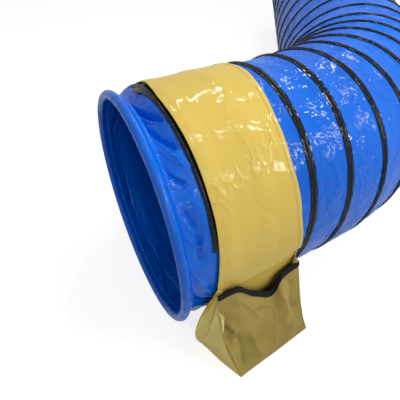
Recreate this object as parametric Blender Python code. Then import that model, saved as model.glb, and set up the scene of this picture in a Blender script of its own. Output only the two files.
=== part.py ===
"""A dog agility tunnel, 60 cm across and about 3 m long as it lies: a PVC tube held open by one long
spring wire, which a sewn wear strip covers from outside, with a padded hoop at each end. A loose
saddle lies over the mouth end, with an open pouch on each side. Metres, +Z up, mouth towards -X.
The near side of the tunnel is -Y, and the route bends to the left, towards +Y."""

from bisect import bisect_right
from math import cos, pi, radians, sin

import bmesh
import bpy
from mathutils import Vector

# Route of the tunnel's axis, seen from above: straight, a bend, a slower bend, and straight again
FRONT_RUN = 0.480
BEND_LENGTH = 0.570
BEND_ANGLE = radians(39)
EASE_LENGTH = 0.500
EASE_ANGLE = radians(13)
TUNNEL_LENGTH = 3.080

# Clearance between pieces that touch, and how deep the lowest faces are cut flat on the floor
GAP = 0.0003
FLOOR_FLAT = 0.0005

# Bore of the tunnel, which the wire, the end hoops, the saddle and the pouches all follow
BORE_RADIUS = 0.300

# Spring wire, with its axis just outside the bore, and the wear strip sewn over it
COIL_OUTSIDE_BORE = 0.0022
WIRE_RADIUS = 0.002
STRIP_WIDTH = 0.020
STRIP_THICKNESS = 0.001

# Distance along the route from one turn to the next: the end turns lie closed, side by side
CLOSED_CLEARANCE = 0.004
SADDLE_SPACING = 0.152
BEND_SPACING = 0.097
FAR_SPACING = 0.180
FIRST_TURN = 0.066
LAST_TURN = 0.066
SPACING_RAMP = 0.040

# Skin: it hugs the wire at each turn and swells between turns
SKIN_THICKNESS = 0.0016
SWELL = 0.0044
SWELL_SLOPE = 0.10
SEAM_PAST_TURN = 0.001
FAR_PANELS = 3

# Facets round the tube, with one edge along the floor, and the facet where the winding starts
SIDES = 18
START_COLUMN = 5

# End hoops, their padded hems and the cuffs behind them
HOOP_TUBE_RADIUS = 0.0082
HEM_THICKNESS = 0.0020
HEM_SLIT = radians(14)
HEM_SLIT_ANGLE = radians(-45)
HOOP_SIDES = 36
HOOP_SECTION_SIDES = 8
MOUTH_PLACE = 0.006
MOUTH_TILT = radians(-3.5)
CUFF_NECK_DEPTH = 0.0075
CUFF_SWELL = 0.0025
CUFF_SHARES = (0.16, 0.50, 0.78)

# Saddle strap: its place along the tunnel, and how far its edges stray from it, as (angle up from
# the near side, distance) points
STRAP_FRONT = 0.072
STRAP_REAR = 0.309
STRAP_FRONT_EDGE = ((0, -0.014), (15, -0.006), (60, -0.003), (80, 0.002), (104, 0.021), (180, 0.026))
STRAP_REAR_EDGE = ((0, -0.009), (15, -0.021), (40, -0.026), (60, -0.016), (90, 0.014), (180, 0.024))
STRAP_THICKNESS = 0.0015
STRAP_HEM_WIDTH = 0.012
STRAP_END_DROP = 0.043

# Pouches, hanging from a seam below the tunnel's axis
POUCH_SEAM_DROP = 0.020
POUCH_WALL = 0.0018
BINDING_THICKNESS = 0.0014
BINDING_GAP = 0.0006
BINDING_DEPTH = 0.10
FAR_POUCH_SHIFT = 0.038

# Side of the tunnel, as a sign along Y
NEAR = -1
FAR = 1

# Sizes that follow from the ones above
COIL_RADIUS = BORE_RADIUS + COIL_OUTSIDE_BORE
CLOSED_SPACING = STRIP_WIDTH + CLOSED_CLEARANCE
GROOVE_RADIUS = COIL_RADIUS - WIRE_RADIUS - GAP
STRIP_EDGE_RADIUS = GROOVE_RADIUS + SWELL_SLOPE * STRIP_WIDTH / 2 + 2 * GAP
STRIP_CREST_RADIUS = COIL_RADIUS + WIRE_RADIUS + GAP + STRIP_THICKNESS
AXIS_HEIGHT = STRIP_CREST_RADIUS - FLOOR_FLAT
HEM_INNER_RADIUS = (HOOP_TUBE_RADIUS + GAP) / cos(pi / HOOP_SECTION_SIDES)
HEM_OUTER_RADIUS = HEM_INNER_RADIUS + HEM_THICKNESS
HOOP_RADIUS = STRIP_CREST_RADIUS - HEM_OUTER_RADIUS
FACET_HALF = pi / SIDES
STRAP_INNER_RADIUS = STRIP_CREST_RADIUS + GAP
STRAP_END_HEIGHT = AXIS_HEIGHT - STRAP_END_DROP
POUCH_BACK = (STRAP_INNER_RADIUS + 2 * STRAP_THICKNESS) * cos(FACET_HALF) + GAP
POUCH_SEAM_HEIGHT = AXIS_HEIGHT - POUCH_SEAM_DROP
FIRST_SEAM = FIRST_TURN + SEAM_PAST_TURN
LAST_SEAM = TUNNEL_LENGTH - LAST_TURN - SEAM_PAST_TURN
BEND_END = FRONT_RUN + BEND_LENGTH
EASE_END = BEND_END + EASE_LENGTH

# Colours
BLUE = (0.0, 0.122, 0.716)
BLACK = (0.008, 0.010, 0.013)
YELLOW = (0.760, 0.560, 0.140)
STEEL = (0.55, 0.56, 0.58)
GREY = (0.20, 0.21, 0.22)


# Clearing the scene
def clear_scene():
    for old in list(bpy.data.objects):
        bpy.data.objects.remove(old, do_unlink=True)


# The route
def route_point(distance):
    """Place, heading and curvature of the tunnel's axis at a distance from the mouth hoop."""
    x, y, heading = 0.0, 0.0, 0.0
    left = distance
    for length, turn in ((FRONT_RUN, 0.0), (BEND_LENGTH, BEND_ANGLE), (EASE_LENGTH, EASE_ANGLE)):
        step = min(left, length)
        curvature = turn / length
        if turn:
            ahead = heading + curvature * step
            x += (sin(ahead) - sin(heading)) / curvature
            y += (cos(heading) - cos(ahead)) / curvature
            heading = ahead
        else:
            x += step
        left -= step
        if left <= 0:
            return x, y, heading, curvature
    return x + left * cos(heading), y + left * sin(heading), heading, 0.0


def column_angle(column):
    """Angle of a facet's edge round the tube: 0 on the near side, a quarter turn at the top."""
    return 2 * pi * column / SIDES - pi / 2


def frame_point(centre, heading, angle, radius, along=0.0):
    """A point round a centre, in the upright plane square to a heading."""
    across = radius * cos(angle)
    x = centre[0] + across * sin(heading) + along * cos(heading)
    y = centre[1] - across * cos(heading) + along * sin(heading)
    return Vector((x, y, centre[2] + radius * sin(angle)))


def tube_point(distance, column, radius):
    x, y, heading, _ = route_point(distance)
    return frame_point((x, y, AXIS_HEIGHT), heading, column_angle(column), radius)


def stretch(distance, column):
    """How much longer the tube's wall is than its axis there: over 1 outside a bend."""
    curvature = route_point(distance)[3]
    return 1 + curvature * COIL_RADIUS * cos(column_angle(column))


# The winding
def turn_spacing(distance):
    """Distance along the route from one turn to the next, read from a broken line."""
    closed_until = FIRST_TURN + CLOSED_SPACING
    closed_from = TUNNEL_LENGTH - LAST_TURN - CLOSED_SPACING
    line = (
        (closed_until, CLOSED_SPACING),
        (closed_until + SPACING_RAMP, SADDLE_SPACING),
        (FRONT_RUN + BEND_SPACING, BEND_SPACING),
        (BEND_END - SPACING_RAMP, BEND_SPACING),
        (BEND_END + FAR_SPACING, FAR_SPACING),
        (closed_from - 2 * SPACING_RAMP, FAR_SPACING),
        (closed_from, CLOSED_SPACING),
    )
    place = bisect_right([stop for stop, _ in line], distance)
    if place in (0, len(line)):
        return CLOSED_SPACING
    (low, spacing_low), (high, spacing_high) = line[place - 1], line[place]
    return spacing_low + (spacing_high - spacing_low) * (distance - low) / (high - low)


def lay_winding():
    """The wire's place along the route at every facet edge it crosses, by column number."""
    places = [FIRST_TURN]
    while places[-1] < TUNNEL_LENGTH - LAST_TURN:
        half_step = places[-1] + turn_spacing(places[-1]) / SIDES / 2
        places.append(places[-1] + turn_spacing(half_step) / SIDES)
    return {START_COLUMN + step: place for step, place in enumerate(places)}


WINDING = lay_winding()
END_COLUMN = max(WINDING)


def winding_place(column):
    """The winding's place, carried on past both of its ends at the closed spacing."""
    if column < START_COLUMN:
        return WINDING[START_COLUMN] - (START_COLUMN - column) * CLOSED_SPACING / SIDES
    if column > END_COLUMN:
        return WINDING[END_COLUMN] + (column - END_COLUMN) * CLOSED_SPACING / SIDES
    return WINDING[column]


# Meshes
def new_object(name, mesh_builder, finish, pivot=None):
    """An object from a bmesh, with its mesh measured from the pivot that it hangs on."""
    bmesh.ops.recalc_face_normals(mesh_builder, faces=mesh_builder.faces[:])
    bmesh.ops.triangulate(mesh_builder, faces=mesh_builder.faces[:], quad_method="SHORT_EDGE")
    mesh = bpy.data.meshes.new(name)
    if pivot:
        bmesh.ops.translate(mesh_builder, vec=-pivot.location, verts=mesh_builder.verts[:])
    mesh_builder.to_mesh(mesh)
    mesh_builder.free()
    mesh.shade_smooth()
    mesh.set_sharp_from_angle(angle=radians(40))
    mesh.materials.append(finish)
    piece = bpy.data.objects.new(name, mesh)
    bpy.context.scene.collection.objects.link(piece)
    piece.parent = pivot or BASE
    return piece


def bridge(builder, ring_a, ring_b, closed=True):
    """Faces between two rings of vertices with the same count."""
    count = len(ring_a)
    for k in range(count if closed else count - 1):
        after = (k + 1) % count
        builder.faces.new((ring_a[k], ring_a[after], ring_b[after], ring_b[k]))


def sweep(rings, closed):
    """A solid through rings of points: closed on itself, or with a flat cap on each end."""
    builder = bmesh.new()
    made = [[builder.verts.new(point) for point in ring] for ring in rings]
    for ring_a, ring_b in zip(made, made[1:]):
        bridge(builder, ring_a, ring_b)
    if closed:
        bridge(builder, made[-1], made[0])
    else:
        builder.faces.new(made[0])
        builder.faces.new(made[-1])
    return builder


def zip_columns(builder, side_a, side_b):
    """Triangles between two rows of (distance, vertex), stepping along both in order."""
    a, b = 0, 0
    while a < len(side_a) - 1 or b < len(side_b) - 1:
        step_a = b == len(side_b) - 1
        if not step_a and a < len(side_a) - 1:
            step_a = side_a[a + 1][0] <= side_b[b + 1][0]
        corners = [side_a[a][1], side_b[b][1]]
        if step_a:
            a += 1
            corners.append(side_a[a][1])
        else:
            b += 1
            corners.append(side_b[b][1])
        builder.faces.new(corners)


# Wire and wear strip
def wound_rings(section):
    """Rings of a winding, one at each facet edge. The section is (along, radius) points."""
    rings = []
    for column in range(START_COLUMN, END_COLUMN + 1):
        place = winding_place(column)
        shrink = stretch(place, column)
        ring = [tube_point(place + along / shrink, column, radius) for along, radius in section]
        for point in ring:
            point.z = max(point.z, 0.0)
        rings.append(ring)
    return rings


def print_least_gap(name, rings):
    """The least distance between the facing edges of one turn and the next."""
    least = 1.0
    for column in range(len(rings) - SIDES):
        for point in rings[column]:
            for other in rings[column + SIDES]:
                least = min(least, (point - other).length)
    print(f"{name}: least gap to its next turn {least * 1000:.2f} mm")


def build_spring_wire():
    half = WIRE_RADIUS * cos(pi / 4)
    section = [
        (-half, COIL_RADIUS - half),
        (-half, COIL_RADIUS + half),
        (half, COIL_RADIUS + half),
        (half, COIL_RADIUS - half),
    ]
    rings = wound_rings(section)
    print_least_gap("spring_wire", rings)
    new_object("spring_wire", sweep(rings, False), material("spring steel", STEEL, 0.35, 1.0))


def build_wear_strip():
    half = STRIP_WIDTH / 2
    section = [
        (-half, STRIP_EDGE_RADIUS),
        (-half, STRIP_EDGE_RADIUS + STRIP_THICKNESS),
        (0.0, STRIP_CREST_RADIUS),
        (half, STRIP_EDGE_RADIUS + STRIP_THICKNESS),
        (half, STRIP_EDGE_RADIUS),
        (0.0, STRIP_CREST_RADIUS - STRIP_THICKNESS),
    ]
    rings = wound_rings(section)
    print_least_gap("wear_strip", rings)
    new_object("wear_strip", sweep(rings, False), material("black PVC", BLACK, 0.28, 0.0))


# Skin panels
def skin_profile(column):
    """Distances and radii down one facet edge: a groove under each turn, a swell between turns."""
    profile = []
    crossing = column - 2 * SIDES
    while crossing <= END_COLUMN + 2 * SIDES:
        groove = winding_place(crossing)
        next_groove = winding_place(crossing + SIDES)
        middle = (groove + next_groove) / 2
        rise = (middle - groove) * stretch(middle, column) * SWELL_SLOPE
        profile.append((groove, GROOVE_RADIUS))
        profile.append((middle, GROOVE_RADIUS + min(SWELL, rise)))
        crossing += SIDES
    return profile


def cut_profile(profile, start, end):
    """The profile between two distances, with a point read from it at each."""
    distances = [distance for distance, _ in profile]

    def radius_at(distance):
        after = bisect_right(distances, distance)
        (low, radius_low), (high, radius_high) = profile[after - 1], profile[after]
        return radius_low + (radius_high - radius_low) * (distance - low) / (high - low)

    inside = [stop for stop in profile if start + GAP < stop[0] < end - GAP]
    return [(start, radius_at(start)), *inside, (end, radius_at(end))]


def build_skin_panel(number, start, end):
    builder = bmesh.new()
    outer, inner = [], []
    for column in range(SIDES):
        stops = cut_profile(skin_profile(column), start, end)
        for wall, depth in ((outer, 0.0), (inner, SKIN_THICKNESS)):
            wall.append(
                [(d, builder.verts.new(tube_point(d, column, radius - depth))) for d, radius in stops]
            )
    for column in range(SIDES):
        after = (column + 1) % SIDES
        for wall in (outer, inner):
            zip_columns(builder, wall[column], wall[after])
        for end_index in (0, -1):
            builder.faces.new(
                (
                    outer[column][end_index][1],
                    outer[after][end_index][1],
                    inner[after][end_index][1],
                    inner[column][end_index][1],
                )
            )
    new_object(f"skin_panel_{number}", builder, material("blue PVC", BLUE, 0.22, 0.0))


def build_skin():
    far_panel = (LAST_SEAM - EASE_END) / FAR_PANELS
    far_seams = [EASE_END + far_panel * count for count in range(1, FAR_PANELS)]
    bend_middle = FRONT_RUN + BEND_LENGTH / 2
    ends = [FIRST_SEAM, FRONT_RUN, bend_middle, BEND_END, EASE_END, *far_seams, LAST_SEAM]
    for number, (start, end) in enumerate(zip(ends, ends[1:]), 1):
        build_skin_panel(number, start + GAP / 2, end - GAP / 2)


# End hoops, hems and cuffs
def ring_piece(centre, heading, section):
    """A closed ring: the section is (along the axis, out from the axis) points."""
    rings = []
    for step in range(HOOP_SIDES):
        angle = 2 * pi * step / HOOP_SIDES - pi / 2
        ring = [frame_point(centre, heading, angle, radius, along) for along, radius in section]
        for point in ring:
            point.z = max(point.z, 0.0)
        rings.append(ring)
    return sweep(rings, True)


def hem_section(side):
    """A rolled hem: a C round the hoop, with its slit at the inner edge towards the cuff."""
    arc = [
        HEM_SLIT_ANGLE + HEM_SLIT / 2 + (2 * pi - HEM_SLIT) * step / HOOP_SECTION_SIDES
        for step in range(HOOP_SECTION_SIDES + 1)
    ]
    outside = [(side * HEM_OUTER_RADIUS * cos(a), HOOP_RADIUS + HEM_OUTER_RADIUS * sin(a)) for a in arc]
    inside = [(side * HEM_INNER_RADIUS * cos(a), HOOP_RADIUS + HEM_INNER_RADIUS * sin(a)) for a in arc]
    return outside + inside[::-1]


def hoop_section():
    steps = [2 * pi * step / HOOP_SECTION_SIDES for step in range(HOOP_SECTION_SIDES)]
    return [(HOOP_TUBE_RADIUS * cos(a), HOOP_RADIUS + HOOP_TUBE_RADIUS * sin(a)) for a in steps]


def build_end(name, hoop_distance, tilt, side, seam, pivot=None):
    """Hoop, hem and cuff of one end. Side is 1 where the tunnel lies ahead of its hoop."""
    x, y, heading, _ = route_point(hoop_distance)
    centre = (x, y, AXIS_HEIGHT)
    hoop_heading = heading + tilt
    new_object(
        f"{name}_hoop",
        ring_piece(centre, hoop_heading, hoop_section()),
        material("hoop plastic", GREY, 0.5, 0.0),
        pivot,
    )
    new_object(
        f"{name}_hem",
        ring_piece(centre, hoop_heading, hem_section(side)),
        material("blue PVC", BLUE, 0.22, 0.0),
        pivot,
    )
    build_cuff(f"{name}_cuff", centre, hoop_heading, side, seam, pivot)


def build_cuff(name, hoop_centre, hoop_heading, side, seam, pivot):
    """The skin between a hem and the first turn: it necks in behind the hem, then swells."""
    x, y, seam_heading, _ = route_point(seam)
    behind = side * (HEM_OUTER_RADIUS + GAP)
    start = Vector(hoop_centre) + Vector((cos(hoop_heading), sin(hoop_heading), 0)) * behind
    finish = Vector((x, y, AXIS_HEIGHT)) - Vector((cos(seam_heading), sin(seam_heading), 0)) * side * GAP
    neck, swell, groove = CUFF_SHARES
    outline = (
        (0.0, HOOP_RADIUS),
        (neck, HOOP_RADIUS - CUFF_NECK_DEPTH),
        (swell, HOOP_RADIUS + CUFF_SWELL),
        (groove, GROOVE_RADIUS),
        (1.0, GROOVE_RADIUS),
    )
    builder = bmesh.new()
    walls = []
    for depth in (0.0, SKIN_THICKNESS):
        wall = []
        for share, radius in outline:
            centre = start.lerp(finish, share)
            heading = hoop_heading + (seam_heading - hoop_heading) * share
            points = [
                frame_point(centre, heading, column_angle(column), radius - depth)
                for column in range(SIDES)
            ]
            wall.append([builder.verts.new(point) for point in points])
        for ring_a, ring_b in zip(wall, wall[1:]):
            bridge(builder, ring_a, ring_b)
        walls.append(wall)
    for end_index in (0, -1):
        bridge(builder, walls[0][end_index], walls[1][end_index])
    new_object(name, builder, material("blue PVC", BLUE, 0.22, 0.0), pivot)


# Saddle strap
def strap_outline(radius):
    """The strap's path over the tunnel, as (angle, y, z): straight down at each side."""
    side = radius * cos(FACET_HALF)
    first = 1 + SIDES // 4
    columns = range(first, SIDES - first + 1)
    over = [
        (column_angle(c), -radius * cos(column_angle(c)), AXIS_HEIGHT + radius * sin(column_angle(c)))
        for c in columns
    ]
    return [(0.0, -side, STRAP_END_HEIGHT), *over, (pi, side, STRAP_END_HEIGHT)]


def edge_stray(edge, angle):
    """How far an edge of the strap strays along the tunnel at an angle up from the near side."""
    for (low, stray_low), (high, stray_high) in zip(edge, edge[1:]):
        share = (angle - radians(low)) / radians(high - low)
        if share <= 1:
            return stray_low + (stray_high - stray_low) * share
    return edge[-1][1]


def build_strap(pivot):
    """A sheet over the tunnel with a folded hem along its front and rear edges."""
    inner = strap_outline(STRAP_INNER_RADIUS)
    single = strap_outline(STRAP_INNER_RADIUS + STRAP_THICKNESS)
    double = strap_outline(STRAP_INNER_RADIUS + 2 * STRAP_THICKNESS)
    hem_edge = STRAP_HEM_WIDTH + STRAP_THICKNESS / 2
    across = [
        (False, 0.0, inner),
        (False, 0.0, double),
        (False, STRAP_HEM_WIDTH, double),
        (False, hem_edge, single),
        (True, -hem_edge, single),
        (True, -STRAP_HEM_WIDTH, double),
        (True, 0.0, double),
        (True, 0.0, inner),
    ]
    rings = []
    for step, (angle, _, _) in enumerate(inner):
        front = STRAP_FRONT + edge_stray(STRAP_FRONT_EDGE, angle)
        rear = STRAP_REAR + edge_stray(STRAP_REAR_EDGE, angle)
        ring = []
        for from_rear, offset, outline in across:
            _, y, z = outline[step]
            ring.append(Vector(((rear if from_rear else front) + offset, y, z)))
        rings.append(ring)
    new_object("saddle_strap", sweep(rings, False), material("yellow PVC", YELLOW, 0.25, 0.0), pivot)


# Pouches
# Each outline point is (across, out, drop) at the mouth, (across, out) half way down and at the base.
# Across is a share of the strap's width, out is measured from its back, and drop from the seam.
POUCH_OUTLINE = (
    ((-0.051, 0.0, 0.0), (-0.253, -0.0134), (-0.139, -0.0344)),
    ((0.456, 0.0, 0.0), (0.456, -0.0114), (0.456, -0.0304)),
    ((0.920, 0.0, 0.0), (0.949, -0.0114), (1.004, -0.0304)),
    ((0.857, 0.0065, 0.012), (0.878, 0.0196), (1.030, 0.0306)),
    ((0.910, 0.0165, 0.030), (0.924, 0.0576), (1.046, 0.0826)),
    ((0.677, 0.0200, 0.047), (0.720, 0.0676), (0.802, 0.0866)),
    ((0.527, 0.0300, 0.072), (0.535, 0.0696), (0.540, 0.0906)),
    ((0.289, 0.0210, 0.042), (0.287, 0.0616), (0.287, 0.0936)),
    ((0.101, 0.0165, 0.002), (0.095, 0.0540), (0.118, 0.0956)),
    ((-0.084, 0.0165, 0.004), (-0.072, 0.0476), (0.034, 0.0976)),
    ((-0.008, 0.0045, 0.003), (-0.135, 0.0070), (-0.063, 0.0346)),
)
BACK_POINTS = 3
FRONT_POINTS = slice(4, 10)
POUCH_LEVELS = (0.0, 0.18, 0.52, 0.90, 1.0)
STRAIGHT_BACK_LEVEL = 0.90


def pouch_level(share):
    """The pouch's outer outline at a share of its height: (x, out) points, and their heights."""
    outline, heights = [], []
    for index, (top, middle, base) in enumerate(POUCH_OUTLINE):
        weights = (share * (2 * share - 1), 4 * share * (1 - share), (1 - share) * (1 - 2 * share))
        stops = list(zip((top, middle, base), weights))
        across = sum(stop[0] * weight for stop, weight in stops)
        out = sum(stop[1] * weight for stop, weight in stops)
        if index < BACK_POINTS and share >= STRAIGHT_BACK_LEVEL:
            out = 0.0
        outline.append(Vector((STRAP_FRONT + across * (STRAP_REAR - STRAP_FRONT), POUCH_BACK + out)))
        heights.append((POUCH_SEAM_HEIGHT - top[2]) * share)
    return outline, heights


def offset_outline(outline, distance):
    """The outline moved in by a distance, with mitred corners; out for a negative distance."""
    moved = []
    for index, point in enumerate(outline):
        before = (point - outline[index - 1]).normalized()
        after = (outline[(index + 1) % len(outline)] - point).normalized()
        normal_before = Vector((-before.y, before.x))
        normal_after = Vector((-after.y, after.x))
        middle = (normal_before + normal_after).normalized()
        moved.append(point + middle * (distance / max(middle.dot(normal_before), 0.5)))
    return moved


def pouch_points(outline, heights, side, shift):
    return [Vector((p.x + shift, side * p.y, z)) for p, z in zip(outline, heights)]


def build_pouch(name, side, shift, pivot):
    """An open bag: outer and inner walls with a thick base, joined round the mouth."""
    builder = bmesh.new()
    outer, inner = [], []
    for share in POUCH_LEVELS:
        outline, heights = pouch_level(share)
        outer.append([builder.verts.new(p) for p in pouch_points(outline, heights, side, shift)])
        inside = offset_outline(outline, POUCH_WALL)
        inside_heights = [max(height, POUCH_WALL) for height in heights]
        inner.append([builder.verts.new(p) for p in pouch_points(inside, inside_heights, side, shift)])
    for wall in (outer, inner):
        for ring_a, ring_b in zip(wall, wall[1:]):
            bridge(builder, ring_a, ring_b)
        builder.faces.new(wall[0])
    bridge(builder, outer[-1], inner[-1])
    new_object(name, builder, material("yellow PVC", YELLOW, 0.25, 0.0), pivot)


def build_binding(name, side, shift, pivot):
    """A folded tape over the mouth's front edge, from one gusset to the other."""
    low_outline, low_heights = pouch_level(1 - BINDING_DEPTH)
    top_outline, top_heights = pouch_level(1.0)
    cover = BINDING_GAP + BINDING_THICKNESS
    layers = (
        (low_outline, low_heights, -cover, 0.0),
        (low_outline, low_heights, -BINDING_GAP, 0.0),
        (top_outline, top_heights, -BINDING_GAP, BINDING_GAP),
        (top_outline, top_heights, POUCH_WALL + BINDING_GAP, BINDING_GAP),
        (low_outline, low_heights, POUCH_WALL + BINDING_GAP, 0.0),
        (low_outline, low_heights, POUCH_WALL + cover, 0.0),
        (top_outline, top_heights, POUCH_WALL + cover, cover),
        (top_outline, top_heights, -cover, cover),
    )
    rows = []
    for outline, heights, distance, lift in layers:
        lifted = [height + lift for height in heights]
        rows.append(pouch_points(offset_outline(outline, distance), lifted, side, shift))
    rings = [list(ring) for ring in zip(*rows)][FRONT_POINTS]
    new_object(name, sweep(rings, False), material("black tape", BLACK, 0.45, 0.0), pivot)


def build_saddle():
    middle = (STRAP_FRONT + STRAP_REAR) / 2
    slide = new_pivot("saddle_slide", (middle, 0, AXIS_HEIGHT), BASE)
    build_strap(slide)
    for name, side, shift in (("near", NEAR, 0.0), ("far", FAR, FAR_POUCH_SHIFT)):
        hinge = new_pivot(f"{name}_pouch_hinge", (middle, side * POUCH_BACK, POUCH_SEAM_HEIGHT), BASE)
        build_pouch(f"{name}_pouch", side, shift, hinge)
        build_binding(f"{name}_mouth_binding", side, shift, hinge)


# Materials and pivots
def material(name, colour, roughness, metallic):
    found = bpy.data.materials.get(name)
    if found:
        return found
    made = bpy.data.materials.new(name)
    made.use_nodes = True
    shader = made.node_tree.nodes["Principled BSDF"]
    shader.inputs["Base Color"].default_value = (*colour, 1.0)
    shader.inputs["Roughness"].default_value = roughness
    shader.inputs["Metallic"].default_value = metallic
    made.diffuse_color = (*colour, 1.0)
    return made


def new_pivot(name, place, parent=None):
    """An empty on a joint's axis, which the moving pieces hang on."""
    pivot = bpy.data.objects.new(name, None)
    pivot.location = place
    pivot.parent = parent
    bpy.context.scene.collection.objects.link(pivot)
    return pivot


def centre_on_origin():
    """Moves the base so that the whole object's box is centred on the origin, on the floor."""
    bpy.context.view_layer.update()
    corners = []
    for piece in bpy.data.objects:
        if piece.type == "MESH":
            corners += [piece.matrix_world @ vertex.co for vertex in piece.data.vertices]
    for axis in (0, 1):
        low = min(corner[axis] for corner in corners)
        high = max(corner[axis] for corner in corners)
        BASE.location[axis] -= (low + high) / 2


clear_scene()
BASE = new_pivot("tunnel_base", (0, 0, 0))
build_spring_wire()
build_wear_strip()
build_skin()
build_end("front", MOUTH_PLACE, MOUTH_TILT, 1, FIRST_SEAM)
rear_x, rear_y, _, _ = route_point(TUNNEL_LENGTH)
REAR_SLIDE = new_pivot("rear_end_slide", (rear_x, rear_y, AXIS_HEIGHT), BASE)
build_end("rear", TUNNEL_LENGTH, 0.0, -1, LAST_SEAM, REAR_SLIDE)
build_saddle()
centre_on_origin()
print(f"winding: {(END_COLUMN - START_COLUMN) / SIDES:.1f} turns")
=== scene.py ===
"""Looks of the dog agility tunnel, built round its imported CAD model. Metres, in the model's frame.
The route, the winding and the main radii repeat the part's own formulas."""

from math import cos, pi, radians, sin

import bpy
import numpy as np
from mathutils import Matrix, Vector


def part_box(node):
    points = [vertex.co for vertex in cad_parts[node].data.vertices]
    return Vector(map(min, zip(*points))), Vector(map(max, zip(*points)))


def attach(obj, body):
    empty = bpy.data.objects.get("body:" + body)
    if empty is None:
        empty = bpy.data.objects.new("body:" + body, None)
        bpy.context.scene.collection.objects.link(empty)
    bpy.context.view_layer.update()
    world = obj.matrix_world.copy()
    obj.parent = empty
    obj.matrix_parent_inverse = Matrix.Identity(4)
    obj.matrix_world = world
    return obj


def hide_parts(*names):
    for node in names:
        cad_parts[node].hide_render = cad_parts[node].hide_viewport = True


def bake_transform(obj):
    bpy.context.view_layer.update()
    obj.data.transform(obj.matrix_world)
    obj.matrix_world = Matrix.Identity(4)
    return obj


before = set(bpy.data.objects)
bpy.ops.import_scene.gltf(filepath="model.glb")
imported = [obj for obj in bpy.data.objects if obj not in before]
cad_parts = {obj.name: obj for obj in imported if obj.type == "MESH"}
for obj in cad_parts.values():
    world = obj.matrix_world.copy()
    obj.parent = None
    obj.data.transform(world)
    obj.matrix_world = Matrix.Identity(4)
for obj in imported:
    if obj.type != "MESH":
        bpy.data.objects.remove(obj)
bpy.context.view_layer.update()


def milli(table):
    """A table's thousandths as whole units: millimetres as metres."""
    return [milli(row) for row in table] if isinstance(table, tuple) else table / 1000


# Route of the tunnel's axis, repeated from the part
FRONT_RUN = 0.48
RUNS = ((FRONT_RUN, 0.0), (0.57, radians(39)), (0.5, radians(13)), (9.0, 0.0))
BEND_END = 1.05
TUNNEL_LENGTH = 3.08

# Main radii, repeated from the part
BORE_RADIUS = 0.3
COIL_RADIUS = 0.3022
WIRE_RADIUS = 0.002
GROOVE_RADIUS = 0.2999
CREST_RADIUS = 0.3055
AXIS_HEIGHT = 0.305
HEM_RADIUS = 0.0112
HOOP_RADIUS = CREST_RADIUS - HEM_RADIUS
MOUTH_PLACE = 0.006
MOUTH_TILT = radians(-3.5)
SEAM_FRONT = 0.067
SEAM_REAR = TUNNEL_LENGTH - 0.067

# Winding, repeated from the part
SIDES = 18
START_COLUMN = 5
CLOSED_SPACING = 0.024
SADDLE_SPACING = 0.152
BEND_SPACING = 0.097
FAR_SPACING = 0.18
FIRST_TURN = 0.066
SPACING_RAMP = 0.04

# Saddle and pouches, near the part's own. An edge strays by (degrees up from the near side, mm).
STRAP_FRONT = 0.072
STRAP_REAR = 0.309
STRAP_FRONT_EDGE = (
    (0, -14), (15, -6), (30, 0), (50, 3.5), (64, 6), (80, 6), (86, 6.8), (97, 15), (103, 21.5),
    (109, 26), (180, 26),
)
STRAP_REAR_EDGE = ((0, -9), (15, -21), (40, -26), (60, -16), (90, 14), (180, 24))
STRAP_INNER = 0.3058
POUCH_BACK = 0.30441
POUCH_SEAM_HEIGHT = 0.285
FAR_POUCH_SHIFT = 0.038

low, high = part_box("front_hoop")
ORIGIN = ((low.x + high.x) / 2 - MOUTH_PLACE, (low.y + high.y) / 2)
STRAP_AXIS = np.array((*ORIGIN, AXIS_HEIGHT))


# Camera
def make_camera():
    data = bpy.data.cameras.new("camera")
    data.lens = 31.12
    data.sensor_width = 36
    camera = bpy.data.objects.new("camera", data)
    bpy.context.scene.collection.objects.link(camera)
    camera.location = (ORIGIN[0] - 0.193, ORIGIN[1] - 0.655, 0.933)
    yaw, pitch = radians(59.31), radians(41.89)
    forward = Vector((cos(pitch) * cos(yaw), cos(pitch) * sin(yaw), -sin(pitch)))
    camera.rotation_mode = "QUATERNION"
    camera.rotation_quaternion = forward.to_track_quat("-Z", "Y")
    bpy.context.scene.camera = camera


# Noise
def hashed(i, j, k, seed):
    """Repeatable numbers from 0 to 1 for whole-number cells."""
    h = i * 374761393 + j * 668265263 + k * 1442695041 + seed * 974634777
    h &= 0xFFFFFFFF
    h = ((h ^ (h >> 13)) * 1274126177) & 0xFFFFFFFF
    h = ((h ^ (h >> 15)) * 2246822519) & 0xFFFFFFFF
    return (h ^ (h >> 16)) / 4294967296.0


def noise(x, y, z, seed):
    """Smooth gradient noise, about -1 to 1, one cell to a unit."""
    x, y, z = np.broadcast_arrays(x, y, z)
    cells = [np.floor(v).astype(np.int64) for v in (x, y, z)]
    parts = [v - c for v, c in zip((x, y, z), cells)]
    fades = [p * p * p * (p * (p * 6 - 15) + 10) for p in parts]
    total = np.zeros(x.shape)
    for corner in range(8):
        steps = (corner & 1, corner >> 1 & 1, corner >> 2)
        at = [c + d for c, d in zip(cells, steps)]
        weight = 1.0
        for fade, d in zip(fades, steps):
            weight = weight * (fade if d else 1 - fade)
        offsets = [p - d for p, d in zip(parts, steps)]
        total += weight * sum((2 * hashed(*at, seed + n) - 1) * o for n, o in enumerate(offsets))
    return 1.6 * total


NEVER_CLOSES = 9999


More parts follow.
